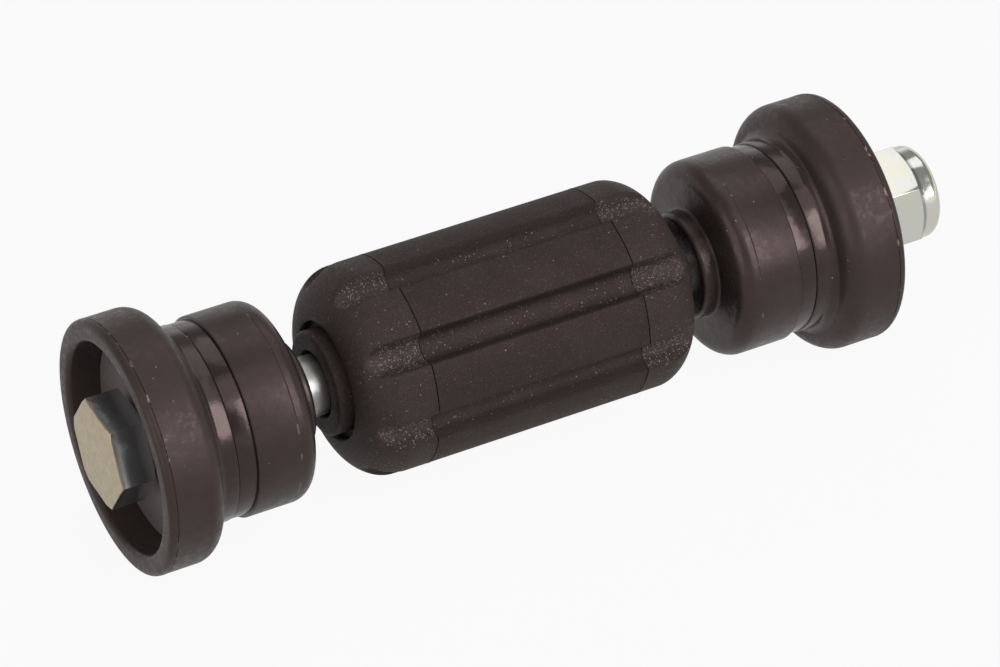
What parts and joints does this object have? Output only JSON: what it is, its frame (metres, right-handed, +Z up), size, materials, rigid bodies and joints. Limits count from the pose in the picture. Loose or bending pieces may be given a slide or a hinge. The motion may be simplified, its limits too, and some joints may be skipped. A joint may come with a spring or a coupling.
{
  "type": "stabilizer link",
  "caption": "Bolt-through stabilizer link: a long hex bolt with a lock nut carries cupped rubber bush pairs at both ends of a fluted spacer barrel.",
  "frame": {"origin": "middle of the link's box, on the bolt axis", "axes": "+X along the bolt from its head to the lock nut, +Z up with the link lying on its two cup flanges"},
  "size_m": [0.1504, 0.042, 0.042],
  "materials": {
    "zinc_steel": "dull zinc plating, slightly rough",
    "bright_zinc": "bright blue-white zinc plating",
    "black_steel": "dark phosphate coat",
    "bush_rubber": "moulded rubber with a soft sheen",
    "barrel_plastic": "moulded plastic with a fine spark-eroded grain",
    "insert_nylon": "plain nylon"
  },
  "bodies": {
    "bolt": {"bolt": "zinc_steel"},
    "head_washer": {"head_washer": "black_steel"},
    "head_outer_bush": {"head_outer_bush": "bush_rubber"},
    "head_inner_bush": {"head_inner_bush": "bush_rubber"},
    "barrel": {"barrel": "barrel_plastic"},
    "nut_inner_bush": {"nut_inner_bush": "bush_rubber"},
    "nut_outer_bush": {"nut_outer_bush": "bush_rubber", "nut_washer": "black_steel"},
    "nut_insert": {"nut_insert": "insert_nylon"},
    "lock_nut": {"lock_nut": "bright_zinc"}
  },
  "joints": [
    {"name": "head_washer_float", "type": "slide", "parent": "bolt", "child": "head_washer", "axis": [1, 0, 0], "range_m": [-0.0016, 0]},
    {"name": "head_outer_bush_spin", "type": "hinge", "parent": "head_washer", "child": "head_outer_bush", "pos_m": [-0.065, 0, 0], "axis": [1, 0, 0], "continuous": true},
    {"name": "head_inner_bush_float", "type": "slide", "parent": "bolt", "child": "head_inner_bush", "axis": [1, 0, 0], "range_m": [0, 0.0036]},
    {"name": "barrel_spin", "type": "hinge", "parent": "bolt", "child": "barrel", "pos_m": [-0.005, 0, 0], "axis": [1, 0, 0], "continuous": true},
    {"name": "nut_inner_bush_float", "type": "slide", "parent": "bolt", "child": "nut_inner_bush", "axis": [1, 0, 0], "range_m": [-0.0015, 0]},
    {"name": "nut_outer_bush_spin", "type": "hinge", "parent": "bolt", "child": "nut_outer_bush", "pos_m": [0.053, 0, 0], "axis": [1, 0, 0], "continuous": true},
    {"name": "nut_travel", "type": "slide", "parent": "bolt", "child": "nut_insert", "axis": [1, 0, 0], "range_m": [-0.0084, 0.0081]},
    {"name": "nut_turn", "type": "hinge", "parent": "nut_insert", "child": "lock_nut", "pos_m": [0.0692, 0, 0], "axis": [1, 0, 0], "range_deg": [-2016, 1944]}
  ],
  "couplings": [
    {"joint": "nut_travel", "follows": "nut_turn", "m_per_rad": 0.00023873}
  ]
}
